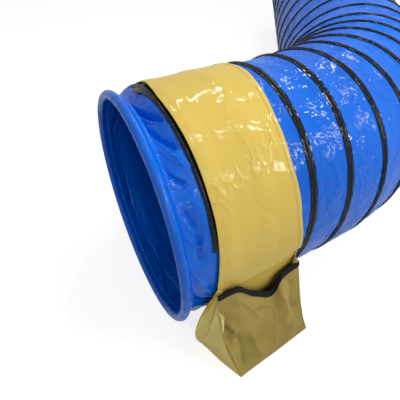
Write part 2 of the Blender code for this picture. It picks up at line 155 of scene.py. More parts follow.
def scattered(u, v, around, seed):
    """Distances to the nearest and second nearest of scattered points, one to a unit cell.
    The pattern closes on itself after so many cells along u."""
    u, v = np.broadcast_arrays(u, v)
    cell_u, cell_v = np.floor(u).astype(np.int64), np.floor(v).astype(np.int64)
    first = second = np.full(u.shape, 9.0)
    for du in (-1, 0, 1):
        for dv in (-1, 0, 1):
            i, j = cell_u + du, cell_v + dv
            wrapped = np.mod(i, around)
            centre_u = i + 0.1 + 0.8 * hashed(wrapped, j, 0, seed)
            centre_v = j + 0.1 + 0.8 * hashed(wrapped, j, 0, seed + 7)
            reach = np.hypot(u - centre_u, v - centre_v)
            second = np.where(reach < first, first, np.minimum(second, reach))
            first = np.minimum(first, reach)
    return first, second


def dents(u, v, around, seed):
    """Shallow bowls between sharp ridges, and how near the ridge is, from 0 to 1."""
    first, second = scattered(u, v, around, seed)
    return first**2 - 0.3, np.exp(-(second - first) / 0.09)


def smooth(low_end, high_end, value):
    """A soft step from 0 to 1."""
    t = np.clip((value - low_end) / (high_end - low_end), 0, 1)
    return t * t * (3 - 2 * t)


def fold_line(u, v, path, width):
    """A sharp fold along a path: 1 on the line, falling away on both sides."""
    near = np.full(np.broadcast(u, v).shape, 1e9)
    for (u0, v0), (u1, v1) in zip(path, path[1:]):
        du, dv = u1 - u0, v1 - v0
        t = np.clip(((u - u0) * du + (v - v0) * dv) / (du * du + dv * dv), 0, 1)
        near = np.minimum(near, (u - u0 - t * du) ** 2 + (v - v0 - t * dv) ** 2)
    return np.exp(-np.sqrt(near) / width)


def unit(vectors):
    return vectors / np.linalg.norm(vectors, axis=-1, keepdims=True)


def reached(line):
    """Distances along a line of points."""
    steps = np.linalg.norm(np.diff(line, axis=0), axis=1)
    return np.concatenate(([0.0], np.cumsum(steps)))


def folds(u, v, lines):
    """The sum of listed folds: (height, width, path), in metres."""
    total = 0.0
    for height, width, path in lines:
        total = total + height * fold_line(u, v, path, width)
    return total


# Route and winding
def route(distance):
    """Place, heading and curvature of the axis at distances from the mouth hoop."""
    distance = np.asarray(distance, float)
    x, y, heading, curvature = np.zeros((4, *distance.shape))
    left = distance
    for number, (length, turn) in enumerate(RUNS):
        step = np.minimum(left, length) if number == 0 else np.clip(left, 0, length)
        bend = turn / length
        if turn:
            ahead = heading + bend * step
            x += (np.sin(ahead) - np.sin(heading)) / bend
            y += (np.cos(heading) - np.cos(ahead)) / bend
            curvature = np.where((left > 0) & (left <= length), bend, curvature)
            heading = ahead
        else:
            x += step * np.cos(heading)
            y += step * np.sin(heading)
        left = left - length
    return x + ORIGIN[0], y + ORIGIN[1], heading, curvature


def ring_points(centre, heading, angle, along, radius):
    """Points of a ring square to a heading. Its angle is 0 on the near side, pi / 2 at the top."""
    across = radius * np.cos(angle)
    x = centre[0] + across * np.sin(heading) + along * np.cos(heading)
    y = centre[1] - across * np.cos(heading) + along * np.sin(heading)
    return np.stack(np.broadcast_arrays(x, y, centre[2] + radius * np.sin(angle)), -1)


def tube_points(distance, angle, radius):
    x, y, heading, _ = route(distance)
    return ring_points((x, y, AXIS_HEIGHT), heading, angle, 0.0, radius)


def turn_spacing(distance):
    closed_until = FIRST_TURN + CLOSED_SPACING
    closed_from = TUNNEL_LENGTH - FIRST_TURN - CLOSED_SPACING
    stops = (
        (closed_until, CLOSED_SPACING),
        (closed_until + SPACING_RAMP, SADDLE_SPACING),
        (FRONT_RUN + BEND_SPACING, BEND_SPACING),
        (BEND_END - SPACING_RAMP, BEND_SPACING),
        (BEND_END + FAR_SPACING, FAR_SPACING),
        (closed_from - 2 * SPACING_RAMP, FAR_SPACING),
        (closed_from, CLOSED_SPACING),
    )
    return float(np.interp(distance, *zip(*stops)))


def lay_winding():
    """The wire's place along the route at each of the part's facet edges."""
    places = [FIRST_TURN]
    while places[-1] < TUNNEL_LENGTH - FIRST_TURN:
        half_step = places[-1] + turn_spacing(places[-1]) / SIDES / 2
        places.append(places[-1] + turn_spacing(half_step) / SIDES)
    return np.array(places)


# Across the top the first turn strays back from its even winding
FIRST_TURN_COLUMNS = (8.4, 9.6, 11.4, 13.5)
FIRST_TURN_STRAY = (0.0, 0.008, 0.008, 0.0)

WINDING = lay_winding()
END_COLUMN = START_COLUMN + len(WINDING) - 1


def winding_place(column):
    """Distances along the route at column numbers, which go on at each end as closed turns."""
    column = np.asarray(column, float)
    inside = np.interp(column, np.arange(START_COLUMN, END_COLUMN + 1), WINDING)
    before = np.minimum(column - START_COLUMN, 0) * CLOSED_SPACING / SIDES
    after = np.maximum(column - END_COLUMN, 0) * CLOSED_SPACING / SIDES
    return inside + before + after + np.interp(column, FIRST_TURN_COLUMNS, FIRST_TURN_STRAY)


def column_angle(column):
    return 2 * pi * column / SIDES - pi / 2


def between_turns(distance, angle):
    """Distances to the turn before and the turn after, along the route."""
    column = np.mod(angle + pi / 2, 2 * pi) * SIDES / (2 * pi)
    before = after = np.full(np.shape(distance), 9.0)
    for turn in range(-3, int(END_COLUMN / SIDES) + 4):
        gap = distance - winding_place(column + turn * SIDES)
        before = np.where(gap >= 0, np.minimum(before, gap), before)
        after = np.where(gap < 0, np.minimum(after, -gap), after)
    return before, after


# Meshes
def add_mesh(name, points, faces, material, smooth_shaded=True):
    mesh = bpy.data.meshes.new(name)
    mesh.from_pydata(np.asarray(points).reshape(-1, 3).tolist(), [], faces)
    mesh.materials.append(material)
    if smooth_shaded:
        mesh.shade_smooth()
    piece = bpy.data.objects.new(name, mesh)
    bpy.context.scene.collection.objects.link(piece)
    return piece


def grid_faces(rows, columns, closed_rows=False, closed_columns=False, start=0, flip=False):
    """Faces between the points of a grid, numbered row by row from a start."""
    faces = []
    for i in range(rows if closed_rows else rows - 1):
        below = start + i * columns
        above = start + (i + 1) % rows * columns
        for j in range(columns if closed_columns else columns - 1):
            k = (j + 1) % columns
            face = (below + j, below + k, above + k, above + j)
            faces.append(face[::-1] if flip else face)
    return faces


def swept(name, rings, material, closed=False):
    """A solid through rings of points, with a cap on each open end."""
    count, size = rings.shape[:2]
    faces = grid_faces(count, size, closed_rows=closed, closed_columns=True)
    if not closed:
        faces.append(tuple(range(size))[::-1])
        faces.append(tuple(range((count - 1) * size, count * size)))
    return add_mesh(name, rings, faces, material)


def sharpen(piece, degrees):
    piece.data.set_sharp_from_angle(angle=radians(degrees))


# Materials
class Nodes:
    """Short calls for the nodes of a material or world."""

    def __init__(self, owner):
        owner.use_nodes = True
        self.owner = owner
        self.tree = owner.node_tree
        self.shader = self.tree.nodes.get("Principled BSDF")

    def add(self, kind, inputs=None, **settings):
        node = self.tree.nodes.new("ShaderNode" + kind)
        for key, value in settings.items():
            setattr(node, key, value)
        for key, value in (inputs or {}).items():
            self.put(node, key, value)
        return node

    def put(self, node, key, value):
        if isinstance(value, bpy.types.NodeSocket):
            self.tree.links.new(value, node.inputs[key])
        else:
            node.inputs[key].default_value = value

    def math(self, operation, a, b=0.0, c=0.0):
        return self.add("Math", {0: a, 1: b, 2: c}, operation=operation).outputs[0]

    def place(self):
        return self.add("TexCoord").outputs["Object"]

    def noise(self, vector, scale, detail=2.0, rough=0.5):
        inputs = {"Vector": vector, "Scale": scale, "Detail": detail, "Roughness": rough}
        return self.add("TexNoise", inputs).outputs["Fac"]

    def cell_lines(self, vector, scale, width):
        """Thin lines between scattered cells: 1 on the line, and 0 from its width on."""
        inputs = {"Vector": vector, "Scale": scale}
        cells = self.add("TexVoronoi", inputs, feature="DISTANCE_TO_EDGE")
        return self.remap(cells.outputs["Distance"], 0.0, width, 1.0, 0.0)

    def warp(self, vector, scale, amount):
        """The coordinates shifted by slow noise, by up to half the amount."""
        drift = self.add("TexNoise", {"Vector": vector, "Scale": scale}).outputs["Color"]
        middle = self.add("VectorMath", {0: drift, 1: (0.5, 0.5, 0.5)}, operation="SUBTRACT")
        inputs = {0: middle.outputs[0], "Scale": amount}
        scaled = self.add("VectorMath", inputs, operation="SCALE").outputs[0]
        return self.add("VectorMath", {0: vector, 1: scaled}, operation="ADD").outputs[0]

    def remap(self, value, low_in, high_in, low_out, high_out):
        inputs = {0: value, 1: low_in, 2: high_in, 3: low_out, 4: high_out}
        return self.add("MapRange", inputs).outputs[0]

    def blend(self, share, first, second):
        """A colour between two, by a share from 0 to 1."""
        ramp = self.add("ValToRGB", {0: share})
        for element, colour in zip(ramp.color_ramp.elements, (first, second)):
            element.color = (*colour, 1.0)
        return ramp.outputs[0]

    def bump(self, height, distance, strength=1.0, normal=None):
        inputs = {"Height": height, "Distance": distance, "Strength": strength}
        if normal:
            inputs["Normal"] = normal
        return self.add("Bump", inputs).outputs[0]

    def finish(self, colour, roughness, normal=None, **plain):
        self.put(self.shader, "Base Color", colour)
        self.put(self.shader, "Roughness", roughness)
        if normal:
            self.put(self.shader, "Normal", normal)
        for key, value in plain.items():
            self.shader.inputs[key.replace("_", " ")].default_value = value
        return self.owner


# Films: light and dark colour, roughness under the coat, crinkle in metres, the coat's weight, and
# the creases' share of the crinkle
FILMS = (
    ("blue", (0.0, 0.146, 0.76), (0.0, 0.12, 0.64), (0.2, 0.32), 0.0046, 0.4, 0.16),
    ("yellow", (0.755, 0.548, 0.118), (0.71, 0.508, 0.104), (0.25, 0.38), 0.0013, 0.3, 0.05),
    ("black", (0.006, 0.008, 0.012), (0.003, 0.004, 0.006), (0.25, 0.4), 0.004, 0.42, 0.14),
)

# Coated cloths of the pouches: title, dark and light colour. The pouch's cloth is a duller yellow
# darkened with painted shade, and the gusset's is a paler copy of it with painted light.
CLOTHS = (
    # The pouch's cloth: a duller yellow, darkened further with painted shade
    ("cloth", "dull yellow cloth with painted shade", (0.32, 0.238, 0.06), (0.415, 0.312, 0.084)),
    # The gusset's cloth: the pouch's cloth made paler with painted light from the left
    ("gusset", "gusset cloth with painted light", (0.8, 0.65, 0.22), (0.9, 0.75, 0.28)),
)

# Grained materials: title, the grain's scale, detail and roughness, dark and light colour, the
# grain's reach and the roughness at its ends, and bump in metres
TWIST, TWIST_ROUGH = (2500.0, 1.0), (0.0, 1.0, 0.45, 0.65)
YELLOW_LOW, YELLOW_HIGH = (0.62, 0.44, 0.12), (0.82, 0.64, 0.26)
STEEL, STEEL_ROUGH = (400.0, 4.0, 0.7), (0.3, 0.7, 0.25, 0.42)
TUBE, TUBE_ROUGH = (150.0, 4.0), (0.3, 0.7, 0.42, 0.6)
GRAINED = (
    ("thread", "sewing thread", TWIST, (0.02, 0.14, 0.6), (0.1, 0.28, 0.82), TWIST_ROUGH, 0.0002),
    ("yellow_thread", "yellow sewing thread", TWIST, YELLOW_LOW, YELLOW_HIGH, TWIST_ROUGH, 0.0002),
    ("steel", "drawn spring steel", STEEL, (0.42, 0.43, 0.45), (0.62, 0.63, 0.65), STEEL_ROUGH, 0.0001),
    ("tube", "extruded hoop tube", TUBE, (0.16, 0.17, 0.18), (0.24, 0.25, 0.26), TUBE_ROUGH, 0.0002),
)


def film(key, light, dark, rough, crinkle, coat, creases):
    """Glossy PVC film on cloth: soft dents, a faint weave and slow changes of tone, under a clear
    coat with thin creases in patches."""
    n = Nodes(bpy.data.materials.new(f"{key} PVC film"))
    place = n.place()
    tone = n.remap(n.noise(place, 5.0, 3.0), 0.3, 0.7, 0.0, 1.0)
    colour = n.blend(tone, dark, light)
    patches = n.remap(n.noise(place, 7.0, 2.0), 0.45, 0.57, 0.15, 1.0)
    lines = n.cell_lines(n.warp(place, 14.0, 0.012), 24.0, 0.06)
    short = n.cell_lines(n.warp(place, 30.0, 0.014), 60.0, 0.12)
    soft = n.noise(place, 34.0, 2.0)
    height = n.math("MULTIPLY", n.math("MULTIPLY_ADD", short, 0.35, lines), patches)
    height = n.math("MULTIPLY_ADD", height, creases, soft)
    weave = n.noise(place, 900.0, 1.0)
    gloss = n.remap(n.noise(place, 30.0, 3.0), 0.3, 0.7, *rough)
    gentle = n.bump(weave, 0.00003, 0.5, n.bump(soft, crinkle * 0.5))
    n.put(n.shader, "Coat Normal", n.bump(height, crinkle))
    n.put(n.shader, "Coat Weight", coat)
    n.put(n.shader, "Coat Roughness", 0.07)
    return n.finish(colour, gloss, gentle, Specular_IOR_Level=0.0)


def cloth(_, title, dark, light):
    """Matt coated cloth with a weave and soft dents."""
    n = Nodes(bpy.data.materials.new(title))
    place = n.place()
    weave = n.noise(place, 1100.0, 1.0)
    soft = n.noise(place, 26.0, 3.0)
    tone = n.remap(n.noise(place, 8.0, 3.0), 0.3, 0.7, 0.0, 1.0)
    normal = n.bump(weave, 0.0002, 0.6, n.bump(soft, 0.003))
    rough = n.remap(soft, 0.3, 0.7, 0.55, 0.72)
    return n.finish(n.blend(tone, dark, light), rough, normal, Specular_IOR_Level=0.12)


def grained(key, title, grain, dark, light, rough, height):
    n = Nodes(bpy.data.materials.new(title))
    grain = n.noise(n.place(), *grain)
    colour = n.blend(grain, dark, light)
    return n.finish(colour, n.remap(grain, *rough), n.bump(grain, height), Metallic=float(key == "steel"))


def tape():
    n = Nodes(bpy.data.materials.new("black binding tape"))
    place = n.place()
    ribs = n.noise(place, 1400.0, 1.0)
    colour = n.blend(n.noise(place, 60.0, 3.0), (0.004, 0.004, 0.005), (0.01, 0.01, 0.012))
    rough = n.remap(ribs, 0.3, 0.7, 0.55, 0.8)
    return n.finish(colour, rough, n.bump(ribs, 0.0003), Specular_IOR_Level=0.12)


MATERIALS = {"tape": tape()}
for table, make in ((FILMS, film), (CLOTHS, cloth), (GRAINED, grained)):
    MATERIALS.update((row[0], make(*row)) for row in table)


# Skin
AROUND = 2 * pi * BORE_RADIUS

# Dents of the slack film: how many stand round the tunnel, and how long one is
BROAD_AROUND, BROAD_ALONG = 22, 0.06
SMALL_AROUND, SMALL_ALONG = 60, 0.034

# Between two turns the film sags at the top and swells low down, in full where the gap is wide
TOP_SAG = 0.005
LOW_SWELL = 0.004
EVEN_SWELL = 0.0012
WIDE_GAP = 0.06
CREST_CLEARANCE = 0.0012

# Seams of the panels along the route, as far as the last three, which are even
SKIN_SEAMS = (SEAM_FRONT, 0.48, 0.765, 1.05, 1.55)
PANEL_LAP = 0.008
LAP_STEP = 0.0006
FINE_PANELS = 4
BLEND_START = 1.6


def wrinkles(distance, angle):
    """Dents, ridges and creases of the slack film, before they fade at the turns."""
    u = np.mod(angle, 2 * pi) * BORE_RADIUS
    place = np.stack((distance, BORE_RADIUS * np.cos(angle), BORE_RADIUS * np.sin(angle)))
    warp_a, warp_b = noise(*place * 9, 11), noise(*place * 9, 23)
    slack = smooth(-0.35, 0.45, noise(*place * 4, 31))
    first, along = u / AROUND * BROAD_AROUND, distance / BROAD_ALONG
    broad, ridge = dents(first + 0.45 * warp_a, along + 0.45 * warp_b, BROAD_AROUND, 3)
    slant, along = u / AROUND * SMALL_AROUND + 9.0 * distance, distance / SMALL_ALONG
    small, crush = dents(slant + 0.6 * warp_b, along + 0.6 * warp_a, SMALL_AROUND, 5)
    patch = smooth(0.02, 0.4, noise(*place * 9, 47))
    soft = noise(*place * 14, 59)
    dip = 0.006 * broad * (0.35 + slack) + 0.0011 * small * patch + 0.0016 * soft
    return dip + 0.0014 * ridge * slack + 0.0013 * crush * patch


def skin_radius(distance, angle):
    """The film's radius: held in under each turn, free between them."""
    before, after = between_turns(distance, angle)
    real = 1 + route(distance)[3] * COIL_RADIUS * np.cos(angle)
    gap = np.minimum(before, after) * real
    half = (before + after) * real / 2
    room = np.minimum(half, WIDE_GAP)
    hold = smooth(0.01, 0.03, gap)
    arch = np.sin(pi * np.clip(before / (before + after), 0, 1))
    up = np.sin(angle)
    lift = np.where(up > 0, -TOP_SAG * up, -LOW_SWELL * up) + EVEN_SWELL
    puckers = 0.0011 * noise(angle * 26, distance * 6, 0, 71) * np.exp(-gap / 0.018)
    wrinkled = (wrinkles(distance, angle) + puckers) * np.clip(room / 0.045, 0, 1)
    swollen = lift * arch * room / WIDE_GAP + wrinkled
    # The film stays below the wear strip's crest, so that the saddle slides over it
    return GROOVE_RADIUS + np.minimum(swollen, CREST_RADIUS - GROOVE_RADIUS - CREST_CLEARANCE) * hold


def floor_clear(points, least=0.0004):
    """The points, lifted to the least height above the floor."""
    points[..., 2] = np.maximum(points[..., 2], least)
    return points


def make_skin_panel(number, start, end, lap, columns, row_length):
    """One panel, whose front edge is lapped under the panel before it."""
    rows = int(np.ceil((end - start + lap) / row_length)) + 1
    distance = np.linspace(start - lap, end, rows)[:, None]
    angle = np.arange(columns)[None, :] * 2 * pi / columns - pi / 2
    distance, angle = np.broadcast_arrays(distance, angle)
    radius = skin_radius(distance, angle) - LAP_STEP * smooth(start + 0.001, start - 0.002, distance)
    points = floor_clear(tube_points(distance, angle, radius))
    faces = grid_faces(rows, columns, closed_columns=True)
    name = f"skin_panel_{number}"
    piece = add_mesh(f"{name}_film", points, faces, MATERIALS["blue"])
    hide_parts(name)
    return piece


def axis_point(distance):
    x, y, heading, _ = route(distance)
    return (float(x), float(y), AXIS_HEIGHT), float(heading)


def join_rear(piece):
    """The piece's place, baked into its mesh. The axis points at the blend's start and at the rear seam
    are looked up but not used.
    """
    start, end = axis_point(BLEND_START)[0], axis_point(SEAM_REAR)[0]
    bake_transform(piece)


def make_skin():
    last = SKIN_SEAMS[-1]
    far_panel = (SEAM_REAR - last) / 3
    seams = [*SKIN_SEAMS, last + far_panel, last + 2 * far_panel, SEAM_REAR]
    for number, (start, end) in enumerate(zip(seams, seams[1:]), 1):
        lap = PANEL_LAP if number > 1 else 0.0
        if number <= FINE_PANELS:
            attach(make_skin_panel(number, start, end, lap, columns=480, row_length=0.004), "tunnel")
        else:
            join_rear(make_skin_panel(number, start, end, lap, columns=264, row_length=0.008))


# Wear strip and wire
STRIP_START = START_COLUMN + 0.35
WIRE_START = START_COLUMN + 0.8

# The strip's section in front of its crest, as (distance along the tunnel, height over the groove)
STRIP_FRONT_HALF = milli(((-10, 0.7), (-10, 1.4), (-7.4, 1.6), (-4.7, 1.6), (-3.1, 3), (-2, 4.6)))
STRIP_CREST = (0.0, 0.0054)
STRIP_HALF = 0.01
BEAD_FOOT = 0.0047

# The first turn's flanges: degrees up from the near side, how far the front one is drawn in there,
# and how far the rear one is let out, in millimetres
FIRST_TURN_FLANGES = (
    (17, 0, 0), (28, 3, 0), (40, 6.2, 0), (66, 6.6, 0), (79, 6.6, 6), (83, 3.6, 9), (90, 0.8, 11),
    (95, -5, 11), (98, -12, 11), (101, -14, 11), (107, 0, 9), (130, 0, 6), (160, 0, 0),
)
FLANGE_FALL = 0.35


def winding_columns(start, fine_until, fine, coarse):
    """Column numbers along the winding, so many to a turn: fine up to a distance, then coarse."""
    change = START_COLUMN + int(np.searchsorted(WINDING, fine_until))
    first = np.arange(start, change, SIDES / fine)
    second = np.arange(change, END_COLUMN, SIDES / coarse)
    return np.concatenate((first, second, [END_COLUMN]))


def make_wear_strip():
    column = winding_columns(STRIP_START, fine_until=1.15, fine=300, coarse=150)
    angle = column_angle(column)[:, None]
    place = winding_place(column)[:, None]
    run = np.cumsum(np.concatenate(([0.0], np.diff(column))))[:, None] * AROUND / SIDES
    shrink = 1 + route(place)[3] * COIL_RADIUS * np.cos(angle)
    rear_half = [(-along, height) for along, height in STRIP_FRONT_HALF[::-1]]
    section = np.array([*STRIP_FRONT_HALF, STRIP_CREST, *rear_half])
    along, height = section[None, :, 0], section[None, :, 1]
    side = np.sign(along) * np.ones_like(run)
    outer = smooth(0.004, 0.01, np.abs(along))
    sway = 0.001 * noise(run * 22, side * 5 + 0.3, 0, 83)
    sway = sway + 0.0006 * noise(run * 60, side * 5, 0, 85)
    flutter = 0.0012 * outer * (0.4 + noise(run * 45, side * 9 + 0.2, 0, 87))
    bead = 1 - smooth(0.0025, 0.0045, np.abs(along))
    pucker = 0.00045 * bead * noise(run * 120, along * 200, 0, 91)
    radius = GROOVE_RADIUS + height + np.maximum(flutter, -0.0003) * (height > 0.0008) + pucker
    radius = np.minimum(radius, CREST_RADIUS)
    degrees = (column[:, None] - SIDES / 4) * 360 / SIDES
    flange = smooth(BEAD_FOOT, STRIP_HALF, np.abs(along))
    stops, front_in, rear_out = np.array(FIRST_TURN_FLANGES).T
    drawn_in = np.interp(degrees, stops, front_in / 1000) * (along < 0)
    let_out = np.interp(degrees, stops, rear_out / 1000) * (along > 0)
    # A flange that is let out lies on the cuff, which is lower there
    radius = radius + FLANGE_FALL * np.minimum(drawn_in, 0) * flange
    distance = place + (along + sway * outer + flange * (drawn_in + let_out)) / shrink
    rings = floor_clear(tube_points(distance, angle, radius), 0.0)
    piece = swept("wear_strip_sewn", rings, MATERIALS["black"])
    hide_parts("wear_strip")
    sharpen(piece, 60)
    join_rear(piece)


def make_wire():
    column = winding_columns(WIRE_START, fine_until=3.0, fine=96, coarse=96)
    angle = column_angle(column)[:, None]
    turn = np.arange(8)[None, :] * pi / 4
    place = winding_place(column)[:, None]
    distance = place + WIRE_RADIUS * 0.95 * np.cos(turn)
    rings = tube_points(distance, angle, COIL_RADIUS + WIRE_RADIUS * 0.95 * np.sin(turn))
    piece = swept("spring_wire_round", rings, MATERIALS["steel"])
    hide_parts("spring_wire")
    join_rear(piece)


# End hems and cuffs
HEM_STEPS = 480
STITCH_LENGTH = 0.0078
STITCH_SIDES = 5

# Section of the rolled hem: round over these degrees, and then the tail that laps the cuff, as
# (distance along the tunnel, distance out from the hoop's line)
HEM_ROUND = (40, 318, 22)
HEM_TAIL = milli((
    (11.8, -7.8), (16, -8), (20.5, -7.2), (22.2, -6.2), (22.2, -5), (20.5, -4.2), (16, -4), (12.5, 1),
))
HEM_SEAM = 0.0165


def make_hem(name, centre, heading, side, body, seed):
    """The rolled hem, puckered by its stitches."""
    angle = (np.arange(HEM_STEPS) * 2 * pi / HEM_STEPS - pi / 2)[:, None]
    turn = np.radians(np.linspace(*HEM_ROUND))
    section = np.array([(HEM_RADIUS * cos(a), HEM_RADIUS * sin(a)) for a in turn] + list(HEM_TAIL))
    back, out = section[None, :, 0], section[None, :, 1]
    grip = smooth(0.0, 0.016, back) + 0.25 * smooth(-0.002, -0.01, out)
    puckers = noise(angle * 38, back * 60, seed, 101) * 0.0009
    ticks = 0.0005 * np.cos(angle * round(AROUND / STITCH_LENGTH)) * smooth(0.006, 0.014, back)
    slow = 0.0009 * noise(angle * 5, seed, 0, 103)
    radius = HOOP_RADIUS + out + (puckers + ticks) * grip + slow * (1 - grip * 0.5)
    rings = floor_clear(ring_points(centre, heading, angle, side * back, radius), 0.0)
    piece = swept(f"{name}_hem_rolled", rings, MATERIALS["blue"], closed=True)
    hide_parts(f"{name}_hem")
    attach(piece, body)
    make_ring_stitches(f"{name}_hem_stitches", centre, heading, side, body)


def stitch_mesh(name, starts, ends, outward, thickness, material):
    """Short stitches between pairs of points, as one mesh."""
    starts, ends, outward = (np.asarray(v, float) for v in (starts, ends, outward))
    run = ends - starts
    sideways = np.cross(outward, unit(run))
    points, faces = [], []
    profile = ((0.0, 0.35, -0.3), (0.25, 1.0, 0.35), (0.75, 1.0, 0.35), (1.0, 0.35, -0.3))
    turns = [2 * pi * k / STITCH_SIDES for k in range(STITCH_SIDES)]
    for start, step, up, across in zip(starts, run, outward, sideways):
        base = len(points)
        for share, swell, lift in profile:
            middle = start + step * share + up * thickness * lift
            for a in turns:
                points.append(middle + (across * cos(a) + up * sin(a)) * thickness / 2 * swell)
        faces += grid_faces(len(profile), STITCH_SIDES, closed_columns=True, start=base)
        faces.append(tuple(range(base, base + STITCH_SIDES))[::-1])
        faces.append(tuple(range(len(points) - STITCH_SIDES, len(points))))
    return add_mesh(name, points, faces, material)


def make_ring_stitches(name, centre, heading, side, body):
    """The seam's stitches on the hem's inner side and on its outer side."""
    count = int(AROUND / STITCH_LENGTH)
    middle = (np.arange(count) + 0.5) * 2 * pi / count
    half = 0.3 * 2 * pi / count
    starts, ends, outward = [], [], []
    for radius, sign in ((HOOP_RADIUS - 0.0084, -1), (HOOP_RADIUS - 0.0036, 1)):
        for angle in middle:
            starts.append(ring_points(centre, heading, angle - half, side * HEM_SEAM, radius))
            ends.append(ring_points(centre, heading, angle + half, side * HEM_SEAM, radius))
            outward.append(ring_points((0, 0, 0), heading, angle, 0.0, sign))
    piece = stitch_mesh(name, starts, ends, outward, 0.0011, MATERIALS["thread"])
    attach(piece, body)


# Folds of the front cuff in millimetres: height, width, and a path of (degrees up from the near side,
# distance along the tunnel)
CUFF_FOLDS = (
    (7, 3, ((96, 14), (91, 22), (82, 30), (77, 40), (70, 64))),
    (-20, 5.5, ((97, 27), (91, 34), (83, 43), (75, 60))),
    (7, 3, ((78, 9), (73, 21), (69, 26), (63, 37), (53, 55))),
    (4, 2.2, ((66, 23), (60, 35), (54, 48))),
    (-17, 5, ((80, 18), (73, 30), (66, 44), (61, 56))),
    (-12, 4.5, ((61, 18), (52, 28), (47, 44))),
    (6, 2.8, ((58, 50), (55, 58), (52, 66))),
    (5, 2.4, ((49, 14), (50, 40), (47, 53))),
    (-7.5, 3.5, ((46, 20), (45, 44))),
    (5, 2.6, ((41, 21), (34, 25), (26, 13))),
    (5.5, 2.8, ((29, 18), (24, 32), (20, 46), (26, 52))),
    (4, 2.2, ((33, 30), (27, 38), (30, 48))),
    (-10, 5, ((36, 34), (28, 43), (15, 40))),
    (5, 3, ((12, 22), (4, 34), (-6, 54))),
    (-15, 6, ((-3, 16), (-12, 36), (-15, 64))),
    (6, 4, ((112, 20), (121, 34), (133, 58))),
    (-14, 6, ((118, 20), (128, 36), (142, 56))),
)
# The neck behind the mouth hem is deeper round the top, about a middle in degrees
NECK_DROP = 0.015
NECK_MIDDLE = 98.0
NECK_SPREAD = 30.0

CUFF_FOLDS_PLACED = [
    (height / 1000, width / 1000, [(radians(up) * BORE_RADIUS, along / 1000) for up, along in path])
    for height, width, path in CUFF_FOLDS
]

# How many dents stand round a cuff
CUFF_BROAD_AROUND = 26
CUFF_SMALL_AROUND = 70


def cuff_wrinkles(share, angle, along, seed):
    """Folds that run from the hem's gathers out to the first turn."""
    u = np.mod(angle, 2 * pi) * BORE_RADIUS
    warp = noise(angle * 3, share * 1.5, seed, 111)
    first = u / AROUND * CUFF_BROAD_AROUND + 0.9 * share + 0.6 * warp
    broad, ridge = dents(first, share * 1.3 + seed, CUFF_BROAD_AROUND, 13)
    first = u / AROUND * CUFF_SMALL_AROUND + 1.4 * share + 0.6 * warp
    small, crush = dents(first, share * 2.2 + seed, CUFF_SMALL_AROUND, 15)
    slack = smooth(-0.4, 0.4, noise(angle * 1.7, share * 0.5, seed, 113))
    patch = smooth(0.0, 0.4, noise(angle * 4, share * 1.5, seed, 119))
    soft = noise(angle * 9, share * 2, seed, 117)
    envelope = np.sin(pi * np.clip(share, 0, 1)) ** 0.6
    free, placed, neck = 1.0, 0.0, 0.0
    if seed == 0:
        degrees = np.degrees(np.mod(angle + pi / 2, 2 * pi)) - 90
        free = 1 - 0.65 * smooth(-25, -5, degrees) * smooth(145, 125, degrees)
        placed = folds(np.radians(degrees) * BORE_RADIUS, along, CUFF_FOLDS_PLACED)
        neck = NECK_DROP * np.exp(-(((np.degrees(angle) - NECK_MIDDLE) / NECK_SPREAD) ** 2))
        neck = neck * smooth(0.0, 0.14, share) * smooth(0.95, 0.45, share)
    own = 0.0085 * broad * (0.3 + slack) + 0.0016 * ridge * slack + 0.0016 * soft
    return envelope * (own * free + placed + 0.0018 * (small + crush) * patch) - neck


# Where a cuff starts behind its hoop, and its radius at shares of its length
CUFF_START = 0.015
CUFF_LAP = 0.004
CUFF_ROWS, CUFF_COLUMNS = 30, 720
CUFF_OUTLINE_SHARES = (0.0, 0.12, 0.32, 0.5, 0.78, 1.0)
CUFF_OUTLINE = (HOOP_RADIUS - 0.003, 0.2918, 0.2944, 0.2966, 0.2988, 0.2996)


def make_cuff(name, centre, hoop_heading, side, seam, body, seed):
    """The film between the hem's seam and the first turn."""
    finish, seam_heading = axis_point(seam)
    start = Vector(centre) + Vector((cos(hoop_heading), sin(hoop_heading), 0)) * side * CUFF_START
    lap = CUFF_LAP if side > 0 else 0.0
    finish = Vector(finish) + Vector((cos(seam_heading), sin(seam_heading), 0)) * lap
    angle = np.arange(CUFF_COLUMNS) * 2 * pi / CUFF_COLUMNS - pi / 2
    length = (finish - start).length
    points = []
    for share in np.arange(CUFF_ROWS) / (CUFF_ROWS - 1):
        middle = start.lerp(finish, share)
        heading = hoop_heading + (seam_heading - hoop_heading) * share
        near = np.interp([share - 0.06, share, share + 0.06], CUFF_OUTLINE_SHARES, CUFF_OUTLINE)
        along = MOUTH_PLACE + CUFF_START + share * length
        radius = near.mean() + cuff_wrinkles(share, angle, along, seed)
        points.append(ring_points(middle, heading, angle, 0.0, np.minimum(radius, CREST_RADIUS - 0.001)))
    points = floor_clear(np.array(points))
    faces = grid_faces(CUFF_ROWS, CUFF_COLUMNS, closed_columns=True, flip=side < 0)
    piece = add_mesh(f"{name}_cuff_film", points, faces, MATERIALS["blue"])
    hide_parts(f"{name}_cuff")
    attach(piece, body)


def make_ends():
    for name, distance, tilt, side, seam, body, seed in (
        ("front", MOUTH_PLACE, MOUTH_TILT, 1, SEAM_FRONT, "tunnel", 0.0),
        ("rear", TUNNEL_LENGTH, 0.0, -1, SEAM_REAR, "rear_end", 40.0),
    ):
        centre, heading = axis_point(distance)
        make_hem(name, centre, heading + tilt, side, body, seed)
        make_cuff(name, centre, heading + tilt, side, seam, body, seed)
        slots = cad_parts[f"{name}_hoop"].data.materials
        slots.clear()
        slots.append(MATERIALS["tube"])


# Saddle strap
STRAP_WIDTH = STRAP_REAR - STRAP_FRONT
STRAP_DROP = AXIS_HEIGHT - POUCH_SEAM_HEIGHT
STRAP_HEM = 0.012
STRAP_SLACK = 0.0022
STRAP_ROWS = 420
STRAP_COLUMNS = 80
STRAP_SHEET, STRAP_HEM_FOLD, STRAP_EDGE = 0.0008, 0.0013, 0.0009

